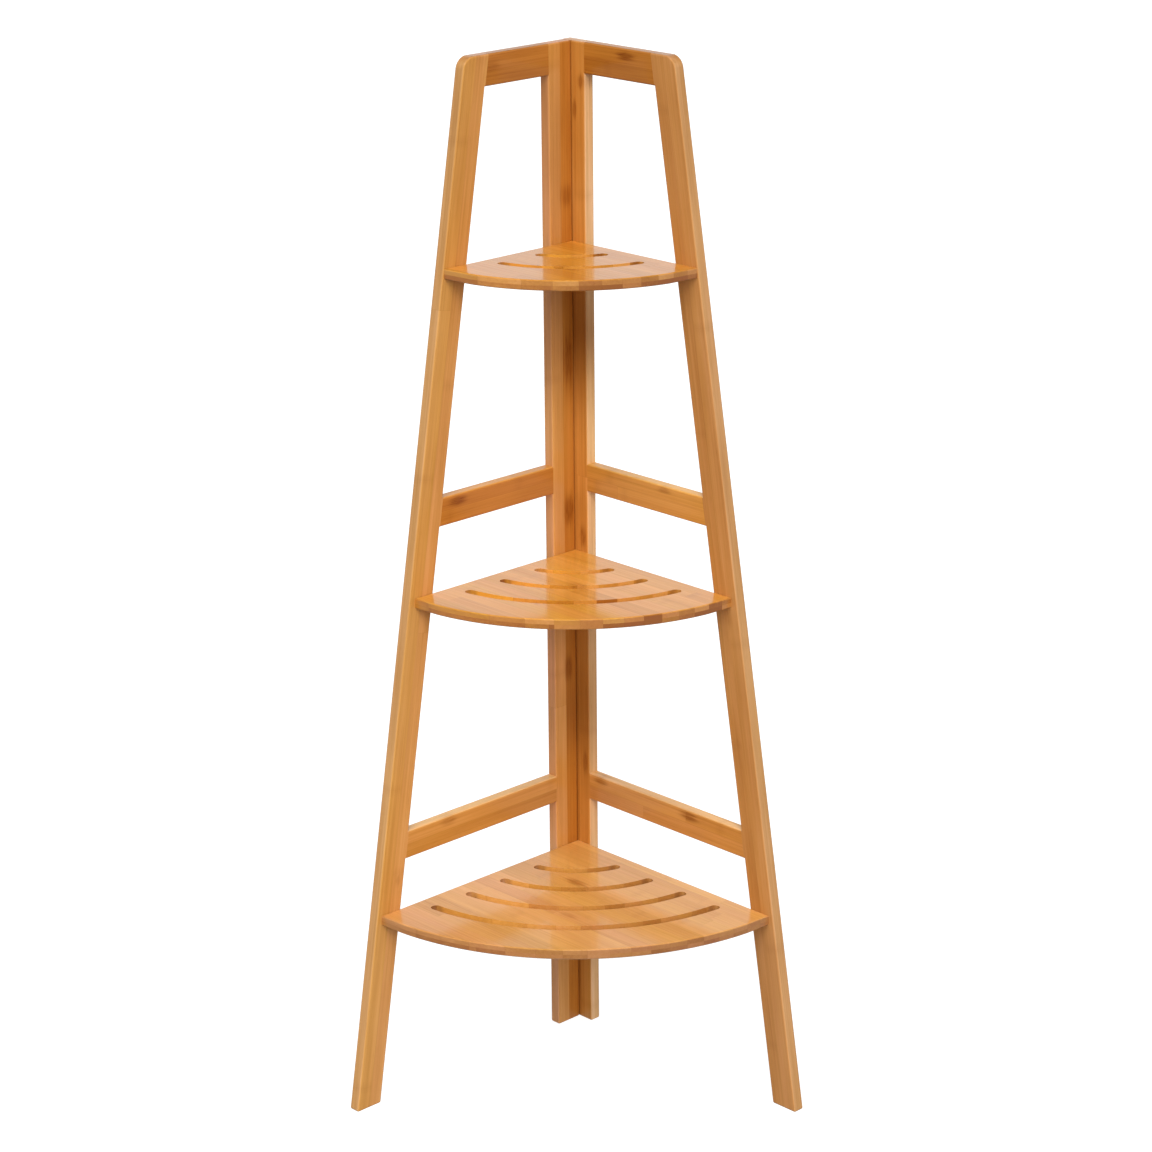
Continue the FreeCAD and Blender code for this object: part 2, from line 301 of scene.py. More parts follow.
@dataclass(frozen=True)
class BoardLook:
    """How one board differs from the average.

    lighter is a share of the colour band, and grade is how much lighter each strip is than the one before.
    The tints multiply the colour: tint of the whole board, first_tint of its first strip and the edge tint
    of its narrow faces. They are partly the board's own tone and partly painted light and shade; on the
    narrow faces, paler edge grain with painted light. seams are the places of dark lines along the board.
    The stretches are painted shading along the board: painted shade below the shelves, painted light between
    them. On end grain, end_spread is how much the strips differ, end_lighter how much lighter they are and
    end_drop how much lighter each layer is than the one above it. The slot tint is painted light that
    multiplies the long walls of the slots, which lie nearer the inner corner than slot_reach.
    """

    lighter: float = 0.0
    grade: float = 0.0
    tint: Colour = (1.0, 1.0, 1.0)
    first_tint: Colour = (1.0, 1.0, 1.0)
    edge_grain_and_light_tint: Colour = (1.0, 1.0, 1.0)
    seams: tuple[float, ...] = ()
    knuckles: tuple[Knuckle, ...] = ()
    painted_shading_stretches: tuple[PaintedShadingStretch, ...] = ()
    end_spread: float = 0.0
    end_lighter: float = 0.0
    end_drop: float = 0.0
    slot_reach: float = 0.0
    # Painted light on the long walls of the slots.
    slot_painted_light_tint: Colour = (1.38, 1.40, 1.14)


@dataclass(frozen=True)
class LaminatedBamboo:
    """Bamboo strips glued side by side under clear lacquer.

    Lengths are millimetres, apart from peel_height and fibre_height, which are metres. The starts are
    shares of a strip and of a layer. A strip is made of segments end to end. The shifts move the pattern of
    one segment or layer away from that of the next.
    """

    strip_width: float
    layer_height: float
    segment_length: float
    stops: tuple[tuple[float, Colour], ...]
    tone_spread: float
    streak_spread: float
    cloud_spread: float
    hue_spread: float
    knuckle_spacing: float
    joint_strength: float
    strip_start: float = 0.048
    layer_start: float = 0.5
    segment_shift: float = 7.0
    layer_shift: float = 3.7
    noise_shift: float = 57.0
    hue_shift: float = 31.0
    ring_shift: float = 11.0
    ring_wander: float = 3.0
    glue_line: float = 0.16
    line_spread: float = 0.16
    dash_depth: float = 0.12
    mark_tint: Colour = (0.42, 0.25, 0.06)
    golden: Colour = (0.98, 1.04, 0.72)
    rosy: Colour = (1.02, 0.96, 1.28)
    # Painted highlight along the rounded arrises.
    arris_highlight_tint: Colour = (1.02, 1.07, 1.25)
    # The narrow faces: paler edge grain, with painted light on them.
    edge_grain_and_light_tint: Colour = (0.97, 1.12, 1.40)
    layer_drop: float = 0.0
    end_tint: Colour = (0.92, 0.84, 0.82)
    relief: float = 0.35
    peel_scale: float = 0.11
    peel_height: float = 0.00012
    fibre_height: float = 0.0001
    specular: float = 0.3
    roughness: tuple[float, float] = (0.42, 0.32)
    coat_roughness: float = 0.10
    coat_weight: float = 1.0


class BambooBoard(Graph):
    """The bamboo of one board: its strips and their tones, the marks on them and the lacquer over them."""

    def __init__(
        self, finish: LaminatedBamboo, look: BoardLook, name: str, axes: BoardAxes, seed: float
    ) -> None:
        """Find the place on the board, its strip and segment, and the noise there.

        Args:
            finish: What all boards of the kind share.
            look: How the board differs from the average.
            name: Name of the material.
            axes: The way the board lies.
            seed: Picks the board's own tones.
        """
        super().__init__(bpy.data.materials.new(name))
        self.finish = finish
        self.look = look
        self.along, self.across, self.through = self.board_place(axes)
        strips, layers = 1.0 / finish.strip_width, 1.0 / finish.layer_height
        self.strip_place = self.math("MULTIPLY_ADD", self.across, strips, finish.strip_start)
        self.strip = self.math("FLOOR", self.strip_place)
        self.layer = self.math("FLOOR", self.math("MULTIPLY_ADD", self.through, layers, finish.layer_start))
        own_strip = self.math("ADD", self.strip, seed)
        self.strip_chance = self.chance(own_strip, self.layer, seed)
        segments = self.math("DIVIDE", self.along, finish.segment_length)
        self.segment_place = self.math("MULTIPLY_ADD", self.strip_chance, finish.segment_shift, segments)
        own_layer = self.math("MULTIPLY", self.layer, finish.layer_shift)
        self.tone = self.chance(own_strip, own_layer, self.math("FLOOR", self.segment_place))
        self.offset = self.math("MULTIPLY", self.tone, finish.noise_shift)
        self.streaks = self.fibres(STREAKS, self.offset)
        self.lines = self.fibres(LINES, self.offset)
        self.specks = self.fibres(SPECKS, self.offset)
        self.joints = self.glue_joints()

        flatness = self.facing(axes.along.cross(axes.across))
        # The narrow faces carry paler edge grain with painted light on it.
        self.edge = self.step(flatness, 0.35, 0.9, 1.0, 0.0)
        # The arrises get a painted highlight.
        leaving_edge = self.step(flatness, 0.1, 0.4)
        self.arris = self.math("MULTIPLY", leaving_edge, self.step(flatness, 0.9, 0.99, 1.0, 0.0))
        self.end = self.step(self.facing(axes.along), 0.25, 0.95)

    def fibres(self, kind: Fibres, offset: Socket) -> Socket:
        """Noise drawn out along the grain, 0.5 on average.

        Args:
            kind: How fine it is.
            offset: The shift that makes it differ from segment to segment.

        Returns:
            The noise.
        """
        place = self.vector(
            self.math("MULTIPLY_ADD", self.along, kind.along, offset),
            self.math("MULTIPLY_ADD", self.across, kind.across, offset),
            self.math("MULTIPLY", self.through, kind.across),
        )
        return self.noise(place, 1.0, kind.detail, 0.6)

    def facing(self, direction: Vector) -> Socket:
        """Tell how squarely the surface looks along a direction, either way.

        Args:
            direction: The direction.

        Returns:
            1 where the surface looks along it and 0 where it is parallel to it.
        """
        normal = self.node("ShaderNodeNewGeometry", {}).outputs["True Normal"]
        product = self.node("ShaderNodeVectorMath", {0: normal, 1: direction}, operation="DOT_PRODUCT")
        return self.math("ABSOLUTE", product.outputs["Value"])

    def glue_joints(self) -> Socket:
        """Fine lines where strips meet side by side and end to end.

        Returns:
            1 on a joint and 0 elsewhere.
        """
        line = self.finish.glue_line
        sides = (self.strip_place, self.finish.strip_width)
        ends = (self.segment_place, self.finish.segment_length)
        marks = []
        for place, size in (sides, ends):
            distance = self.math("MULTIPLY", self.math("PINGPONG", place, 0.5), size)
            marks.append(self.step(distance, line, 2.0 * line, 1.0, 0.0))
        return self.math("MAXIMUM", *marks)

    def growth_rings(self) -> Socket:
        """Faint lines across each strip where the stem had its rings.

        Returns:
            How strongly a place is marked, from 0 to 1.
        """
        finish = self.finish
        wander = self.noise(self.vector(self.across, self.tone, 0.0), 0.35, 1.0)
        place = self.math("MULTIPLY_ADD", wander, finish.ring_wander, self.along)
        place = self.math("DIVIDE", place, finish.knuckle_spacing)
        place = self.math("MULTIPLY_ADD", self.tone, finish.ring_shift, place)
        distance = self.distance(self.math("FRACT", place), 0.5)
        distance = self.math("MULTIPLY", distance, finish.knuckle_spacing)
        return self.math("MAXIMUM", self.step(distance, *RING_LINE), self.step(distance, *RING_HALO))

    def knuckle_mark(self, knuckle: Knuckle) -> Socket:
        """One knuckle's soft dark oval with short dark dashes in it.

        Args:
            knuckle: Its place and size.

        Returns:
            How strongly a place is marked, from 0 to 1.
        """
        length = self.math("DIVIDE", self.math("SUBTRACT", self.along, knuckle.along), knuckle.length / 2.0)
        width = self.math("DIVIDE", self.math("SUBTRACT", self.across, knuckle.across), knuckle.width / 2.0)
        squares = self.math("MULTIPLY_ADD", length, length, self.math("MULTIPLY", width, width))
        reach = self.sway(self.math("SQRT", squares), self.streaks, 1.2)
        halo, core = (
            self.step(reach, start, end, depth * knuckle.strength, 0.0)
            for start, end, depth in (KNUCKLE_HALO, KNUCKLE_CORE)
        )
        return self.math("MULTIPLY_ADD", self.step(self.specks, *KNUCKLE_DASHES), core, halo)

    def painted_shading_share(self, stretch: PaintedShadingStretch) -> Socket:
        """Tell where a stretch of painted shading is.

        Args:
            stretch: Its place and reach.

        Returns:
            1 at its middle and 0 outside it.
        """
        near = self.step(self.distance(self.along, stretch.along), 0.0, stretch.reach, 1.0, 0.0)
        if stretch.strip is None:
            return near
        return self.math("MULTIPLY", near, self.math("COMPARE", self.strip, stretch.strip, 0.5))

    def slot_walls(self) -> Socket:
        """Tell where a shelf has the long walls of its slots, which get painted light.

        Returns:
            1 on these walls, and 0 at the dark ends of the slots and at the rims of the shelf.
        """
        reach = self.look.slot_reach
        squares = self.math("MULTIPLY", self.across, self.across)
        squares = self.math("ADD", self.math("MULTIPLY", self.along, self.along), squares)
        inside = self.step(self.math("SQRT", squares), reach - 3.0, reach, 1.0, 0.0)
        off_ends = self.step(self.math("MINIMUM", self.along, self.across), 25.0, 31.0)
        return self.math("MULTIPLY", self.edge, self.math("MULTIPLY", inside, off_ends))

    def lightness(self) -> Socket:
        """How light the bamboo is.

        Returns:
            A level from 0, which is dark, to 1, which is light.
        """
        finish, look = self.finish, self.look
        spread = self.math("MULTIPLY_ADD", self.end, look.end_spread, finish.tone_spread)
        level = self.sway(0.5 + look.lighter, self.tone, spread)
        level = self.math("MULTIPLY_ADD", self.end, look.end_lighter, level)
        level = self.sway(level, self.strip, look.grade)
        drop = self.math("MULTIPLY_ADD", self.end, look.end_drop, finish.layer_drop)
        level = self.math("MULTIPLY_ADD", self.layer, drop, level)
        level = self.sway(level, self.streaks, finish.streak_spread)
        level = self.sway(level, self.fibres(CLOUDS, self.offset), finish.cloud_spread)
        level = self.sway(level, self.lines, finish.line_spread)
        dashes = self.step(self.specks, 0.60, 0.74)
        return self.math("MULTIPLY_ADD", dashes, -finish.dash_depth, level, clamp=True)

    def marks(self) -> Socket:
        """Rings, knuckles, joints and seams together.

        Returns:
            How strongly a place is marked, from 0 to 1.
        """
        finish, look = self.finish, self.look
        marks = [self.growth_rings()]
        marks += [self.knuckle_mark(knuckle) for knuckle in look.knuckles]
        marks.append(self.math("MULTIPLY", self.joints, finish.joint_strength))
        marks += [self.step(self.distance(self.across, seam), *SEAM) for seam in look.seams]
        strongest = marks[0]
        for mark in marks[1:]:
            strongest = self.math("MAXIMUM", strongest, mark)
        return strongest

    def colour(self) -> Socket:
        """The colour of the bamboo, with all its tints and marks, painted light and shade among them.

        Returns:
            The colour.
        """
        finish, look = self.finish, self.look
        colour = self.ramp(self.lightness(), finish.stops)
        drift = self.fibres(DRIFT, self.math("ADD", self.offset, finish.hue_shift))
        own_hue = self.sway(0.5, self.strip_chance, finish.hue_spread)
        hue = self.sway(own_hue, drift, finish.hue_spread, clamp=True)
        colour = self.mix(1.0, colour, self.mix(hue, finish.golden, finish.rosy), "MULTIPLY")
        later = self.math("MINIMUM", self.math("MAXIMUM", self.strip, self.edge), 1.0)
        strip_tint = self.mix(later, both_tints(look.tint, look.first_tint), look.tint)
        colour = self.mix(1.0, colour, strip_tint, "MULTIPLY")
        tints = [
            # Narrow faces: paler edge grain and painted light.
            (self.edge, both_tints(finish.edge_grain_and_light_tint, look.edge_grain_and_light_tint)),
            # Painted highlight on the arrises.
            (self.arris, finish.arris_highlight_tint),
            (self.end, finish.end_tint),
        ]
        if look.slot_reach:
            # Painted light on the long walls of the slots.
            tints.append((self.slot_walls(), look.slot_painted_light_tint))
        # Painted shade and painted light in stretches along the board.
        tints += [(self.painted_shading_share(stretch), stretch.tint) for stretch in look.painted_shading_stretches]
        tints.append((self.marks(), finish.mark_tint))
        for share, tint in tints:
            colour = self.tint(share, colour, tint)
        return colour

    def material(self) -> Material:
        """Finish the material.

        Returns:
            The material.
        """
        finish = self.finish
        peel = self.noise(self.vector(self.along, self.across, self.through), finish.peel_scale, 1.0)
        wave = self.bump(peel, finish.relief, finish.peel_height)
        grooves = self.math("MULTIPLY", self.joints, -0.6)
        height = self.math("ADD", self.math("MULTIPLY", self.lines, 0.5), grooves)
        return self.surface(
            Base_Color=self.colour(),
            Roughness=self.step(self.streaks, *NOISE_BAND, *finish.roughness),
            Normal=self.bump(height, finish.relief, finish.fibre_height, Normal=wave),
            Coat_Normal=wave,
            Specular_IOR_Level=finish.specular,
            Coat_Weight=finish.coat_weight,
            Coat_Roughness=finish.coat_roughness,
        )


@dataclass(frozen=True)
class PlainHardwood:
    """The bare turned wood of the dowels."""

    light: Colour = (0.62, 0.43, 0.24)
    dark: Colour = (0.44, 0.27, 0.13)
    stretched: float = 0.06
    roughness: tuple[float, float] = (0.7, 0.55)

    def material(self, name: str, along: Vector) -> Material:
        """Make the finish.

        Args:
            name: Name of the material.
            along: The way the grain runs.

        Returns:
            The material.
        """
        graph = Graph(bpy.data.materials.new(name))
        length, width, depth = graph.board_place(BoardAxes(Vector(), along, UP.cross(along).normalized()))
        place = graph.vector(graph.math("MULTIPLY", length, self.stretched), width, depth)
        grain = graph.noise(place, 1.4, 4.0, 0.6)
        pores = graph.step(graph.noise(place, 5.0, 2.0), 0.55, 0.7)
        return graph.surface(
            Base_Color=graph.mix(graph.math("MULTIPLY_ADD", pores, 0.3, grain), self.light, self.dark),
            Roughness=graph.step(grain, *NOISE_BAND, *self.roughness),
            Normal=graph.bump(grain, 0.4, 0.0001),
        )


@dataclass(frozen=True)
class ZincPlatedSteel:
    """The bright plated steel of the screws."""

    bright: Colour = (0.74, 0.73, 0.70)
    dull: Colour = (0.52, 0.51, 0.48)
    roughness: tuple[float, float] = (0.24, 0.42)

    def material(self, name: str) -> Material:
        """Make the finish.

        Args:
            name: Name of the material.

        Returns:
            The material.
        """
        graph = Graph(bpy.data.materials.new(name))
        place = graph.vector(*graph.board_place(BoardAxes(Vector(), ALONG_RIGHT, UP.cross(ALONG_RIGHT))))
        grit = graph.noise(place, 5.0, 2.0)
        return graph.surface(
            Base_Color=graph.mix(graph.noise(place, 0.6, 3.0, 0.6), self.bright, self.dull),
            Roughness=graph.step(grit, *NOISE_BAND, *self.roughness),
            Normal=graph.bump(grit, 0.2, 0.00003),
            Metallic=1.0,
        )


FRAME_BAMBOO = LaminatedBamboo(
    strip_width=16.8,
    layer_height=40.0,
    segment_length=1400.0,
    stops=(
        (0.0, (0.40, 0.129, 0.015)),
        (0.35, (0.55, 0.211, 0.033)),
        (0.65, (0.66, 0.276, 0.053)),
        (1.0, (0.76, 0.350, 0.090)),
    ),
    tone_spread=0.16,
    streak_spread=0.72,
    cloud_spread=0.60,
    hue_spread=0.40,
    knuckle_spacing=330.0,
    joint_strength=0.16,
    specular=0.2,
    coat_weight=0.5,
)
SHELF_BAMBOO = LaminatedBamboo(
    strip_width=18.0,
    strip_start=0.3,
    layer_height=5.6,
    layer_start=0.02,
    segment_length=260.0,
    stops=(
        (0.0, (0.40, 0.128, 0.014)),
        (0.35, (0.555, 0.220, 0.030)),
        (0.65, (0.675, 0.290, 0.047)),
        (1.0, (0.80, 0.390, 0.086)),
    ),
    tone_spread=0.24,
    streak_spread=0.50,
    cloud_spread=0.35,
    hue_spread=0.5,
    knuckle_spacing=290.0,
    joint_strength=0.14,
    edge_grain_and_light_tint=(0.89, 0.94, 1.32),
    end_tint=(0.70, 0.64, 0.72),
    layer_drop=-0.36,
    coat_roughness=0.12,
)


def both_tints(first: Colour, second: Colour) -> Colour:
    """Two tints, one over the other."""
    return tuple(own * extra for own, extra in zip(first, second))


def scene_object(name: str, form: Form) -> Piece:
    """Put a form into the scene.

    Args:
        name: Name of the object and its mesh.
        form: Its shape, which is freed.

    Returns:
        The object.
    """
    mesh = bpy.data.meshes.new(name)
    form.to_mesh(mesh)
    form.free()
    made = bpy.data.objects.new(name, mesh)
    bpy.context.scene.collection.objects.link(made)
    return made


def mesh_piece(name: str, form: Form, replaced: str) -> Piece:
    """Turn a finished form into a piece that stands for a node of the solid model.

    Args:
        name: Name of the piece.
        form: Its shape, which is freed.
        replaced: The node that it stands for.

    Returns:
        The piece.
    """
    bmesh.ops.remove_doubles(form, verts=form.verts, dist=TINY)
    bmesh.ops.recalc_face_normals(form, faces=form.faces)
    for edge in form.edges:
        edge.smooth = edge.is_manifold and edge.calc_face_angle() < SHARP_ANGLE
    piece = scene_object(name, form)
    piece.data.polygons.foreach_set("use_smooth", [True] * len(piece.data.polygons))
    normals = piece.modifiers.new("even_normals", "WEIGHTED_NORMAL")
    normals.keep_sharp = True
    normals.use_face_influence = True
    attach(piece, "root")
    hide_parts(replaced)
    return piece


def bored(form: Form, bores: Form) -> Form:
    """Cut bores out of a solid.

    Args:
        form: The solid, which is freed.
        bores: The space of the bores as closed shells, which is freed.

    Returns:
        The solid with its bores.
    """
    helpers = [scene_object("blank", form), scene_object("bores", bores)]
    cut = helpers[0].modifiers.new("bores", "BOOLEAN")
    cut.operation = "DIFFERENCE"
    cut.solver = "EXACT"
    cut.object = helpers[1]
    result = bmesh.new()
    result.from_object(helpers[0], bpy.context.evaluated_depsgraph_get())
    for helper in helpers:
        mesh = helper.data
        bpy.data.objects.remove(helper)
        bpy.data.meshes.remove(mesh)
    return result


def verts_of(items: list[object]) -> list[bmesh.types.BMVert]:
    """The vertices among what an operator made."""
    return [item for item in items if isinstance(item, bmesh.types.BMVert)]


def grid_sheet(
    columns: int, rows: int, is_open: Callable[[int, int], bool], place: Callable[[int, int], Vector]
) -> Form:
    """Make a flat sheet from a grid.

    Args:
        columns: How many cells lie side by side.
        rows: How many rows of cells there are.
        is_open: Tells whether the cell of a column and row is left open.
        place: Gives the point of a corner of the cells by its line across and its line up.

    Returns:
        The sheet.
    """
    def number(coordinate: float, cells: int) -> float:
        """How many cells lie before a coordinate."""
        return (coordinate + 1.0) / 2.0 * cells

    form = bmesh.new()
    bmesh.ops.create_grid(form, x_segments=columns, y_segments=rows, size=1.0)
    openings = []
    for face in form.faces:
        middle = face.calc_center_median()
        if is_open(int(number(middle.x, columns)), int(number(middle.y, rows))):
            openings.append(face)
    bmesh.ops.delete(form, geom=openings, context="FACES")
    for vertex in form.verts:
        vertex.co = place(round(number(vertex.co.x, columns)), round(number(vertex.co.y, rows)))
    return form


def thicken(form: Form, way: Vector) -> None:
    """Make a flat sheet a solid.

    Args:
        form: The sheet.
        way: The way and distance that it grows.
    """
    grown = bmesh.ops.extrude_face_region(form, geom=form.faces[:])
    bmesh.ops.translate(form, verts=verts_of(grown["geom"]), vec=way)
    bmesh.ops.recalc_face_normals(form, faces=form.faces)


def middle_of(edge: Edge) -> Vector:
    """The middle of an edge."""
    return (edge.verts[0].co + edge.verts[1].co) / 2.0


def rims(form: Form, direction: Vector) -> list[Edge]:
    """Find the edges between the broad faces of a board and its narrow ones.

    Args:
        form: The board.
        direction: The way that its broad faces look.

    Returns:
        The edges.
    """
    found = []
    for edge in form.edges:
        broad = [abs(face.normal.dot(direction)) > SQUARE_ON for face in edge.link_faces]
        if edge.is_manifold and broad[0] != broad[1]:
            found.append(edge)
    return found


def rim_bevel(form: Form, edges: list[Edge], width: float, segments: int) -> None:
    """Round off edges so far from each edge, with so many faces."""
    bmesh.ops.bevel(
        form, geom=edges, offset=width, segments=segments, profile=0.5, affect="EDGES", material=-1,
        clamp_overlap=True, loop_slide=True, face_strength_mode="ALL",
    )


def report(piece: Piece) -> None:
    """Log one finished piece."""
    LOG.info("%s: %d faces", piece.name, len(piece.data.polygons))


@dataclass(frozen=True)
class ScrewBore:
    """The countersunk bore of a screw through a board."""

    head_radius: float = 0.00415
    shank_radius: float = 0.00215
    cone_start: float = 0.00105
    cone_end: float = 0.00305
    depth: float = 0.0135
    overrun: float = 0.001
    steps: int = 32

    def add(self, form: Form, start: Vector, direction: Vector) -> None:
        """Add the space of one bore to a shape by turning its half section.

        Args:
            form: The shape that holds the bores.
            start: Middle of the bore on the face that the screw enters.
            direction: The way that the screw points.
        """
        section = (
            (0.0, -self.overrun),
            (self.head_radius, -self.overrun),
            (self.head_radius, self.cone_start),
            (self.shank_radius, self.cone_end),
            (self.shank_radius, self.depth),
            (0.0, self.depth),
        )
        corners = [form.verts.new(start + UP * radius + direction * depth) for radius, depth in section]
        lines = [form.edges.new(pair) for pair in zip(corners, corners[1:])]
        bmesh.ops.spin(
            form, geom=corners + lines, cent=start, axis=direction, angle=math.tau, steps=self.steps,
            use_merge=True,
        )


@dataclass
class SideFrame:
    """A flat glued frame of an upright post, a slanted leg and three rails, in its half of the corner.

    It runs along from the wall corner, starts so far from it, and its inner face looks inward. The place
    of a screw is its reach, which is its distance from the corner, and its level.
    """

    name: str
    corner: Vector
    along: Vector
    inward: Vector
    start: float
    seed: float
    looks: dict[Member, BoardLook]
    shelf_screw_reach: float
    post_screws: tuple[tuple[float, float], ...] = ()
    shelf_screw_levels: tuple[float, ...] = (0.2097, 0.5480, 0.8860)
    height: float = 1.1
    foot_reach: float = 0.341
    top_reach: float = 0.1595
    thickness: float = BOARD_THICKNESS
    post_width: float = 0.032
    leg_width: float = 0.032
    leg_top_round: float = 0.014
    leg_top_segments: int = 10
    foot_round: float = 0.002
    arris: float = 0.0025
    lower_rail: tuple[float, float] = (0.2691, 0.2993)
    middle_rail: tuple[float, float] = (0.6220, 0.6522)
    top_rail: tuple[float, float] = (1.0675, 1.1)

    def point(self, reach: float, depth: float, height: float) -> Vector:
        """The point so far from the wall corner, from the wall and from the floor."""
        return self.corner + self.along * reach + self.inward * depth + UP * height

    def slope(self) -> float:
        """How far a leg runs inwards for each metre that it rises."""
        return (self.foot_reach - self.top_reach) / self.height

    def leg_front(self, height: float) -> float:
        """Reach of the leg's front edge at a height."""
        return self.foot_reach - self.slope() * height

    def level_leg_width(self) -> float:
        """Width of the leg along a level line."""
        return self.leg_width * math.hypot(1.0, self.slope())

    def leg_rear(self, height: float) -> float:
        """Reach of the leg's rear edge at a height."""
        return self.leg_front(height) - self.level_leg_width()

    def leg_out(self) -> Vector:
        """The direction across a leg from its rear edge to its front edge."""
        return (self.along + UP * self.slope()).normalized()

    def post_front(self) -> float:
        """Reach of the post's edge that the rails meet."""
        return self.start + self.post_width

    def rails(self) -> dict[Member, tuple[float, float]]:
        """Lowest and highest level of each rail."""
        members = (Member.LOWER_RAIL, Member.MIDDLE_RAIL, Member.TOP_RAIL)
        return dict(zip(members, (self.lower_rail, self.middle_rail, self.top_rail)))

    def sheet(self) -> Form:
        """The frame's outline as a flat sheet in the wall plane, with its openings.

        Returns:
            The sheet.
        """
        levels = (0.0, *self.lower_rail, *self.middle_rail, *self.top_rail)

        def is_open(column: int, row: int) -> bool:
            """Tell an opening, which lies between post and leg and under a rail."""
            return column == 1 and row % 2 == 0

        def place(line: int, row: int) -> Vector:
            """Find the point where one of the edges of post and leg crosses a level.

            Args:
                line: Which edge, from the post's outer one on.
                row: Which level, from the floor up.

            Returns:
                The point in the wall plane.
            """
            level = levels[row]
            reaches = (self.start, self.post_front(), self.leg_rear(level), self.leg_front(level))
            return self.point(reaches[line], 0.0, level)

        return grid_sheet(3, len(levels) - 1, is_open, place)

    def blank(self) -> Form:
        """The whole frame as one solid with rounded corners and arrises.

        Returns:
            The solid.
        """
        form = self.sheet()
        thicken(form, self.inward * self.thickness)
        lean = math.atan(self.slope())
        corners = (
            (self.leg_front(self.height), self.height, self.leg_top_round, lean, self.leg_top_segments),
            (self.start, 0.0, self.foot_round, 0.0, RIM_SEGMENTS),
            (self.post_front(), 0.0, self.foot_round, 0.0, RIM_SEGMENTS),
            (self.leg_rear(0.0), 0.0, self.foot_round, lean, RIM_SEGMENTS),
            (self.leg_front(0.0), 0.0, self.foot_round, -lean, RIM_SEGMENTS),
        )
        for reach, level, radius, extra, segments in corners:
            tangent = radius / math.tan((QUARTER_TURN + extra) / 2.0)
            spot = self.point(reach, self.thickness / 2.0, level)
            crossing = [edge for edge in form.edges if (middle_of(edge) - spot).length < TINY]
            rim_bevel(form, crossing, tangent, segments)
        rim_bevel(form, rims(form, self.inward), self.arris, RIM_SEGMENTS)
        return form

    def member_form(self, member: Member) -> Form:
        """One board, cut out of the whole frame along its glue joints.

        Args:
            member: Which board.

        Returns:
            The board as a closed solid.
        """
        form = self.blank()
        post_joint = self.point(self.post_front(), 0.0, 0.0)
        leg_joint = self.point(self.leg_rear(0.0), 0.0, 0.0)
        if member is Member.POST:
            self.cut(form, post_joint, self.along)
        elif member is Member.LEG:
            self.cut(form, leg_joint, -self.leg_out())
        else:
            self.cut(form, post_joint, -self.along)
            self.cut(form, leg_joint, self.leg_out())
            low, high = self.rails()[member]
            stray = [vertex for vertex in form.verts if not low - TINY < vertex.co.z < high + TINY]
            bmesh.ops.delete(form, geom=stray, context="VERTS")
        open_edges = [edge for edge in form.edges if edge.is_boundary]
        bmesh.ops.holes_fill(form, edges=open_edges, sides=0)
        screws = self.screws(member)
        if not screws:
            return form
        bmesh.ops.recalc_face_normals(form, faces=form.faces)
        bores = bmesh.new()
        for reach, level in screws:
            ScrewBore().add(bores, self.point(reach, 0.0, level), self.inward)
        bmesh.ops.remove_doubles(bores, verts=bores.verts, dist=TINY)
        bmesh.ops.recalc_face_normals(bores, faces=bores.faces)
        return bored(form, bores)

    def screws(self, member: Member) -> list[tuple[float, float]]:
        """Where the screws go through a board.

        Args:
            member: Which board.

        Returns:
            The reach and level of each screw.
        """
        if member is Member.POST:
            shelf_screws = [(self.shelf_screw_reach, level) for level in self.shelf_screw_levels]
            return shelf_screws + list(self.post_screws)
        if member is Member.LEG:
            middle = self.level_leg_width() / 2.0
            return [(self.leg_rear(level) + middle, level) for level in self.shelf_screw_levels]
        return []

    @staticmethod
    def cut(form: Form, place: Vector, away: Vector) -> None:
        """Cut a shape at a plane through a place and drop what lies on the far side."""
        bmesh.ops.bisect_plane(
            form, geom=form.verts[:] + form.edges[:] + form.faces[:], dist=TINY / 10.0, plane_co=place,
            plane_no=away, clear_outer=True,
        )

    def axes(self, member: Member) -> BoardAxes:
        """The way a board lies.

        Args:
            member: Which board.

        Returns:
            Its directions, from the outer, rear or lower edge.
        """
        if member is Member.POST:
            return BoardAxes(self.point(self.start, 0.0, 0.0), UP, self.along)
        if member is Member.LEG:
            upwards = (UP - self.along * self.slope()).normalized()
            return BoardAxes(self.point(self.leg_rear(0.0), 0.0, 0.0), upwards, self.leg_out())
        low, _ = self.rails()[member]
        return BoardAxes(self.point(self.start, 0.0, low), self.along, UP)

    def build(self) -> list[Piece]:
        """Build and dress the frame's five boards.

        Returns:
            The pieces.
        """
        pieces = []
        for index, member in enumerate(Member):
            node = f"{self.name}_{member.value}"
            piece = mesh_piece(f"{node}_board", self.member_form(member), node)
            look, axes, seed = self.looks[member], self.axes(member), self.seed + index * 5.0
            board = BambooBoard(FRAME_BAMBOO, look, f"{node}_bamboo", axes, seed)
            piece.data.materials.append(board.material())
            pieces.append(piece)
        return pieces


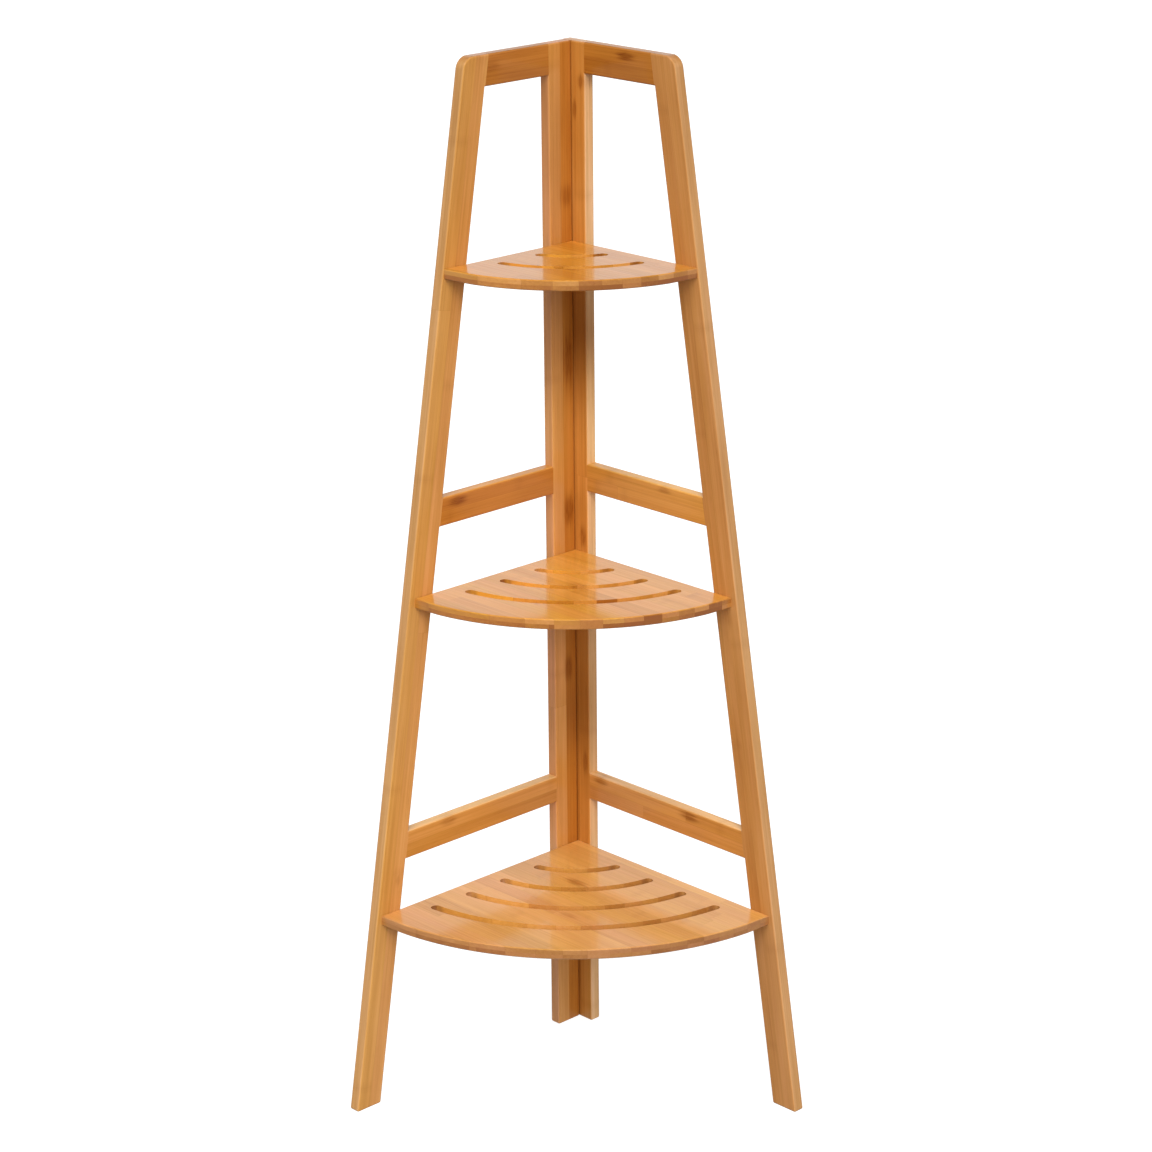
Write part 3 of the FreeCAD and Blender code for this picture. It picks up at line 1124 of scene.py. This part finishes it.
@dataclass
class QuarterShelf:
    """A quarter-round shelf with curved drain slots."""

    name: str
    centre: Vector
    level: float
    radius: float
    slot_inset: float
    slot_pitch: float
    slot_count: int
    seed: float
    look: BoardLook
    thickness: float = 0.011
    arris: float = 0.0015
    arris_segments: int = 3
    slot_width: float = 0.0108
    slot_arris: float = 0.0012
    slot_end_land: float = 0.018
    steps: int = 60
    end_steps: int = 12

    def slots(self) -> list[float]:
        """Radius of each slot's centre line, from the inner one out."""
        outer = self.radius - self.slot_inset
        return [outer - index * self.slot_pitch for index in reversed(range(self.slot_count))]

    def end_angle(self, slot: float) -> float:
        """Angle in radians between a frame and the centre of a slot's round end."""
        return math.asin((self.slot_end_land + self.slot_arris + self.slot_width / 2.0) / slot)

    def rings(self) -> list[tuple[float, float]]:
        """Each ring of the sheet's grid as its radius and the angle of its second line.

        Returns:
            The rings from the inner corner out. Two for each slot come after the first two.
        """
        slots = self.slots()
        half = self.slot_width / 2.0
        first_angle = self.end_angle(slots[0])
        rings = [(0.0, first_angle), ((slots[0] - half) / 2.0, first_angle * 1.3)]
        for slot in slots:
            rings += [(slot - half, self.end_angle(slot)), (slot + half, self.end_angle(slot))]
        rings.append((self.radius, self.end_angle(slots[-1])))
        return rings

    def place(self, radius: float, angle: float) -> Vector:
        """The point of the top face at a distance from the inner corner and a turn from the right frame."""
        flat = Vector((math.cos(angle), -math.sin(angle), 0.0)) * radius
        return self.centre + flat + UP * self.level

    def form(self) -> Form:
        """The shelf as a solid: a polar grid with its slots left out, made thick and rounded.

        Returns:
            The solid.
        """
        rings = self.rings()
        slot_bands = range(2, len(rings) - 1, 2)

        def is_slot(column: int, band: int) -> bool:
            """Tell a cell of a slot. The first and last column are the lands beside the frames."""
            return band in slot_bands and 0 < column < self.steps - 1

        def place(line: int, ring: int) -> Vector:
            """Find the point where a line from the inner corner crosses a ring.

            Args:
                line: Which line, from the right frame on.
                ring: Which ring, from the inner corner out.

            Returns:
                The point in the top face.
            """
            radius, first = rings[ring]
            angle = first + (QUARTER_TURN - 2.0 * first) * ((line - 1) / (self.steps - 2))
            if line in (0, self.steps):
                angle = QUARTER_TURN * line / self.steps
            return self.place(radius, angle)

        form = grid_sheet(self.steps, len(rings) - 1, is_slot, place)
        bmesh.ops.remove_doubles(form, verts=form.verts, dist=TINY)
        self.round_slot_ends(form)
        thicken(form, -UP * self.thickness)
        edges = rims(form, UP)
        mouths = [edge for edge in edges if self.in_slots(edge)]
        outline = [edge for edge in edges if edge not in mouths]
        rim_bevel(form, mouths, self.slot_arris, self.arris_segments)
        rim_bevel(form, [edge for edge in outline if edge.is_valid], self.arris, self.arris_segments)
        return form

    def round_slot_ends(self, form: Form) -> None:
        """Turn the straight ends of the slots into half circles.

        Args:
            form: The flat sheet.
        """
        for slot in self.slots():
            angle = self.end_angle(slot)
            for end, outwards in ((angle, -1.0), (QUARTER_TURN - angle, 1.0)):
                middle = self.place(slot, end)
                edge = min(form.edges, key=lambda item: sum((v.co - middle).length for v in item.verts))
                cut = bmesh.ops.subdivide_edges(form, edges=[edge], cuts=self.end_steps - 1)
                inner = self.place(0.0, end)
                fresh = sorted(verts_of(cut["geom_inner"]), key=lambda vertex: (vertex.co - inner).length)
                away = (middle - inner).normalized()
                sideways = Vector((away.y, -away.x, 0.0)) * outwards
                for index, vertex in enumerate(fresh, start=1):
                    turn = math.pi * index / self.end_steps
                    flat = away * -math.cos(turn) + sideways * math.sin(turn)
                    vertex.co = middle + flat * self.slot_width / 2.0

    def in_slots(self, edge: Edge) -> bool:
        """Tell whether a rim edge belongs to a slot's mouth.

        Args:
            edge: The edge.

        Returns:
            True for an edge of a slot.
        """
        offset = middle_of(edge) - self.centre
        off_frames = min(offset.x, -offset.y) > self.slot_end_land * 0.8
        return off_frames and math.hypot(offset.x, offset.y) < self.radius - self.slot_inset / 2.0

    def build(self) -> Piece:
        """Build and dress the shelf.

        Returns:
            The piece.
        """
        piece = mesh_piece(f"{self.name}_board", self.form(), self.name)
        axes = BoardAxes(self.centre + UP * self.level, ALONG_RIGHT, ALONG_LEFT)
        board = BambooBoard(SHELF_BAMBOO, self.look, f"{self.name}_bamboo", axes, self.seed)
        piece.data.materials.append(board.material())
        return piece


@dataclass
class Fixings:
    """The dowels and screws that the solid model carries over."""

    wood: PlainHardwood
    steel: ZincPlatedSteel

    def dress(self, nodes: dict[str, Piece]) -> list[Piece]:
        """Give each dowel and screw its finish.

        Args:
            nodes: The solid model's objects by name.

        Returns:
            The dressed objects.
        """
        dowel_woods = {
            "left": self.wood.material("left_dowel_wood", ALONG_LEFT),
            "right": self.wood.material("right_dowel_wood", ALONG_RIGHT),
        }
        screw_steel = self.steel.material("zinc_plated_steel_finish")
        dressed = []
        for name, node in sorted(nodes.items()):
            if name.endswith("_dowels"):
                finish = dowel_woods[name.split("_")[0]]
            elif name.endswith("_screws"):
                finish = screw_steel
            else:
                continue
            for slot in node.material_slots:
                slot.material = finish
            dressed.append(node)
        return dressed


@dataclass(frozen=True)
class SoftSun:
    """One far, soft light. Angles are degrees, the azimuth from the -Y side towards the +X side."""

    azimuth: float
    elevation: float
    strength: float
    softness: float = 40.0

    def direction(self) -> Vector:
        """The way from the object to the light.

        Returns:
            A direction of length 1.
        """
        azimuth, elevation = math.radians(self.azimuth), math.radians(self.elevation)
        level = math.cos(elevation)
        return Vector((math.sin(azimuth) * level, -math.cos(azimuth) * level, math.sin(elevation)))


@dataclass
class Studio:
    """The pale floor, the soft lights and the camera. Angles are degrees, lens and sensor millimetres."""

    suns: tuple[SoftSun, ...] = (
        SoftSun(30.0, 56.0, 0.72),
        SoftSun(60.0, 30.0, 0.62),
        SoftSun(95.0, 8.0, 0.09),
    )
    front_light: float = 0.01
    backdrop_light: float = 0.82
    ceiling_light: float = 0.03
    ground_light: float = 0.40
    camera_place: Vector = Vector((2.26313, -2.16728, 1.65027))
    yaw: float = 46.154
    pitch: float = -18.571
    roll: float = -0.512
    lens: float = 102.74
    sensor: float = 36.0
    view_reach: float = 200.0
    sun_distance: float = 5.0
    floor_half: float = 40.0
    floor_grey: float = 0.3
    floor_light: float = 0.92

    def camera(self) -> None:
        """Make the camera at the photograph's viewing angle."""
        data = bpy.data.cameras.new("camera")
        data.lens = self.lens
        data.sensor_width = self.sensor
        data.clip_end = self.view_reach
        camera = bpy.data.objects.new("camera", data)
        bpy.context.scene.collection.objects.link(camera)
        turn = Matrix.Translation(self.camera_place)
        for angle, axis in ((self.yaw, "Z"), (90.0 + self.pitch, "X"), (self.roll, "Z")):
            turn = turn @ Matrix.Rotation(math.radians(angle), 4, axis)
        camera.matrix_world = turn
        bpy.context.scene.camera = camera

    def floor(self) -> None:
        """Make the plain pale floor. It takes shadows, but the world gives the light from below."""
        form = bmesh.new()
        bmesh.ops.create_grid(form, x_segments=1, y_segments=1, size=self.floor_half)
        floor = scene_object("floor", form)
        floor.visible_diffuse = False
        floor.visible_glossy = False
        finish = Graph(bpy.data.materials.new("pale_floor")).surface(
            Base_Color=(self.floor_grey,) * 3,
            Roughness=1.0,
            Specular_IOR_Level=0.0,
            Emission_Color=(1.0, 1.0, 1.0),
            Emission_Strength=self.floor_light,
        )
        floor.data.materials.append(finish)
        floor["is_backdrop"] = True

    def world(self) -> None:
        """Surround the scene with white light: bright backdrop, dim ground, faint front and ceiling."""
        graph = Graph(bpy.data.worlds.new("studio"))
        direction = graph.node("ShaderNodeTexCoord", {}).outputs["Generated"]
        across, depth, height = graph.node("ShaderNodeSeparateXYZ", {0: direction}).outputs
        parts = (
            (graph.step(graph.math("SUBTRACT", depth, across), -0.9, 0.6), self.backdrop_light),
            (graph.step(height, 0.3, 0.75), self.ceiling_light),
            (graph.step(height, 0.0, 0.15, 1.0, 0.0), self.ground_light),
        )
        level = self.front_light
        for share, light in parts:
            level = graph.math("MULTIPLY_ADD", share, graph.math("SUBTRACT", light, level), level)
        background = graph.node("ShaderNodeBackground", {"Color": (1.0, 1.0, 1.0), "Strength": level})
        graph.node("ShaderNodeOutputWorld", {0: background.outputs[0]})
        bpy.context.scene.world = graph.owner

    def lamps(self) -> None:
        """Hang the soft lights."""
        for index, sun in enumerate(self.suns):
            data = bpy.data.lights.new(f"soft_light_{index}", "SUN")
            data.energy = sun.strength * math.pi
            data.angle = math.radians(sun.softness)
            lamp = bpy.data.objects.new(data.name, data)
            lamp.location = sun.direction() * self.sun_distance
            lamp.rotation_mode = "QUATERNION"
            lamp.rotation_quaternion = (-sun.direction()).to_track_quat("-Z", "Y")
            lamp.visible_glossy = False
            bpy.context.scene.collection.objects.link(lamp)

    def build(self) -> None:
        """Set up the whole studio."""
        bpy.context.scene.view_settings.view_transform = "Standard"
        self.camera()
        self.floor()
        self.world()
        self.lamps()


# The tints and lightness of each board are partly its own tone and partly painted light and shade, set board
# by board.
LEFT_LOOKS = {
    Member.POST: BoardLook(
        # The first strip, by the corner, is darker: partly its own tone and partly painted shade in the
        # corner.
        grade=0.16,
        tint=(0.915, 0.94, 1.04),
        first_tint=(0.90, 0.775, 0.56),
        edge_grain_and_light_tint=(1.19, 1.07, 1.34),
        seams=(0.6,),
        knuckles=(
            Knuckle(939.8, 8.6, 30.0, 21.0, 0.62),
            Knuckle(767.9, 9.0, 80.0, 20.0, 0.9),
            Knuckle(599.3, 9.2, 44.0, 17.0, 0.9),
            Knuckle(420.6, 12.7, 36.0, 13.0, 0.8),
        ),
        # Painted shading along the post: mostly painted shade below the middle and top shelves, painted
        # light between them.
        painted_shading_stretches=(
            PaintedShadingStretch(365.0, 70.0, (0.74, 0.70, 0.76), 0.0),
            PaintedShadingStretch(680.0, 90.0, (1.17, 1.27, 1.50), 0.0),
            PaintedShadingStretch(800.0, 50.0, (0.88, 0.87, 0.75), 0.0),
            PaintedShadingStretch(430.0, 70.0, (1.27, 1.28, 1.55), 1.0),
            PaintedShadingStretch(700.0, 90.0, (1.11, 1.17, 1.13), 1.0),
            PaintedShadingStretch(980.0, 130.0, (0.91, 0.90, 0.92), 1.0),
        ),
    ),
    Member.LEG: BoardLook(
        lighter=0.04,
        tint=(0.97, 1.07, 1.46),
        edge_grain_and_light_tint=(1.03, 0.97, 1.17),
        knuckles=(Knuckle(250.7, 8.4, 18.0, 8.0, 0.35),),
    ),
    Member.TOP_RAIL: BoardLook(
        lighter=-0.12,
        tint=(0.77, 0.675, 0.54),
        edge_grain_and_light_tint=(0.98, 0.94, 0.80),
        knuckles=(Knuckle(111.3, 20.0, 34.0, 12.0, 0.5),),
    ),
    Member.MIDDLE_RAIL: BoardLook(
        lighter=-0.04,
        tint=(0.83, 0.70, 0.56),
        edge_grain_and_light_tint=(1.47, 1.63, 1.65),
        knuckles=(Knuckle(167.5, 22.9, 30.0, 14.0, 0.9),),
    ),
    Member.LOWER_RAIL: BoardLook(
        lighter=0.04,
        tint=(0.91, 0.95, 0.92),
        edge_grain_and_light_tint=(1.58, 1.88, 2.80),
        knuckles=(Knuckle(189.6, 25.0, 30.0, 13.0, 0.55),),
    ),
}
RIGHT_LOOKS = {
    Member.POST: BoardLook(
        grade=0.10,
        tint=(0.96, 0.96, 0.88),
        edge_grain_and_light_tint=(1.25, 1.49, 2.74),
        seams=(12.2,),
        knuckles=(
            Knuckle(1059.0, 26.6, 19.0, 13.0, 0.8),
            Knuckle(1029.6, 17.2, 24.0, 8.0, 0.8),
            Knuckle(569.9, 24.6, 30.0, 12.0, 0.8),
            Knuckle(310.8, 25.2, 30.0, 10.0, 0.6),
        ),
        # Painted shading along the post: painted shade below the middle and top shelves, painted light
        # between and above them.
        painted_shading_stretches=(
            PaintedShadingStretch(365.0, 95.0, (0.72, 0.67, 0.60)),
            PaintedShadingStretch(680.0, 85.0, (1.24, 1.34, 1.50)),
            PaintedShadingStretch(795.0, 60.0, (0.64, 0.57, 0.48)),
            PaintedShadingStretch(935.0, 70.0, (1.09, 1.18, 1.44)),
        ),
    ),
    Member.LEG: BoardLook(
        tint=(0.88, 0.915, 1.445),
        edge_grain_and_light_tint=(0.98, 0.98, 1.05),
        knuckles=(Knuckle(534.8, 18.7, 30.0, 10.0, 0.35),),
    ),
    Member.TOP_RAIL: BoardLook(
        lighter=-0.2,
        tint=(0.89, 0.825, 0.595),
        edge_grain_and_light_tint=(1.0, 0.91, 0.74),
        knuckles=(Knuckle(91.3, 25.0, 30.0, 11.0, 1.0),),
    ),
    Member.MIDDLE_RAIL: BoardLook(
        lighter=0.1,
        tint=(1.02, 1.05, 0.985),
        edge_grain_and_light_tint=(1.33, 1.39, 1.60),
        knuckles=(Knuckle(146.2, 26.0, 22.0, 9.0, 0.5),),
    ),
    Member.LOWER_RAIL: BoardLook(
        lighter=0.02,
        tint=(1.03, 1.07, 1.44),
        edge_grain_and_light_tint=(1.48, 1.68, 2.40),
        knuckles=(Knuckle(182.3, 23.0, 32.0, 13.0, 0.9), Knuckle(49.0, 25.5, 26.0, 11.0, 0.8)),
    ),
}
# The shelves' tints, too, are partly their own tone and partly painted light and shade.
TOP_LOOK = BoardLook(
    tint=(1.085, 1.045, 0.79),
    edge_grain_and_light_tint=(1.02, 1.05, 1.24),
    knuckles=(Knuckle(85.3, 92.2, 36.0, 15.0, 0.7),),
    end_spread=0.75,
    end_lighter=0.10,
    end_drop=-0.30,
    slot_reach=152.0,
)
MIDDLE_LOOK = BoardLook(
    tint=(1.155, 1.20, 1.19),
    edge_grain_and_light_tint=(0.95, 0.87, 0.68),
    knuckles=(Knuckle(88.7, 82.2, 36.0, 15.0, 0.5),),
    end_spread=0.75,
    end_lighter=-0.12,
    end_drop=0.24,
    slot_reach=204.0,
)
BOTTOM_LOOK = BoardLook(
    tint=(1.18, 1.32, 2.30),
    edge_grain_and_light_tint=(0.83, 0.74, 0.51),
    knuckles=(Knuckle(82.3, 82.9, 38.0, 15.0, 0.8), Knuckle(136.8, 147.2, 30.0, 12.0, 0.4)),
    end_spread=0.35,
    end_drop=0.28,
    slot_reach=261.0,
)


def main() -> None:
    """Build the studio and the shelf, piece by piece."""
    logging.basicConfig(level=logging.INFO, format="%(message)s")
    low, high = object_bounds()
    Studio().build()
    corner = Vector((low.x, high.y, 0.0))
    post_screws = tuple((BOARD_THICKNESS / 2.0, level) for level in (0.110, 0.430, 1.010))
    frames = (
        SideFrame("left", corner, ALONG_LEFT, ALONG_RIGHT, BOARD_THICKNESS, 11.0, LEFT_LOOKS, 0.034),
        SideFrame("right", corner, ALONG_RIGHT, ALONG_LEFT, 0.0, 47.0, RIGHT_LOOKS, 0.0225, post_screws),
    )
    for side_frame in frames:
        for piece in side_frame.build():
            report(piece)
    centre = corner + (ALONG_LEFT + ALONG_RIGHT) * BOARD_THICKNESS
    shelves = (
        QuarterShelf("top_shelf", centre, 0.8915, 0.180, 0.0555, 0.0505, 2, 3.0, TOP_LOOK),
        QuarterShelf("middle_shelf", centre, 0.5535, 0.230, 0.0531, 0.0482, 3, 8.0, MIDDLE_LOOK),
        QuarterShelf("bottom_shelf", centre, 0.2152, 0.287, 0.0534, 0.049, 4, 15.0, BOTTOM_LOOK),
    )
    for shelf in shelves:
        report(shelf.build())
    for node in Fixings(PlainHardwood(), ZincPlatedSteel()).dress(frame["nodes"]):
        report(node)
    low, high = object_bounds()


if __name__ == "__main__":
    main()
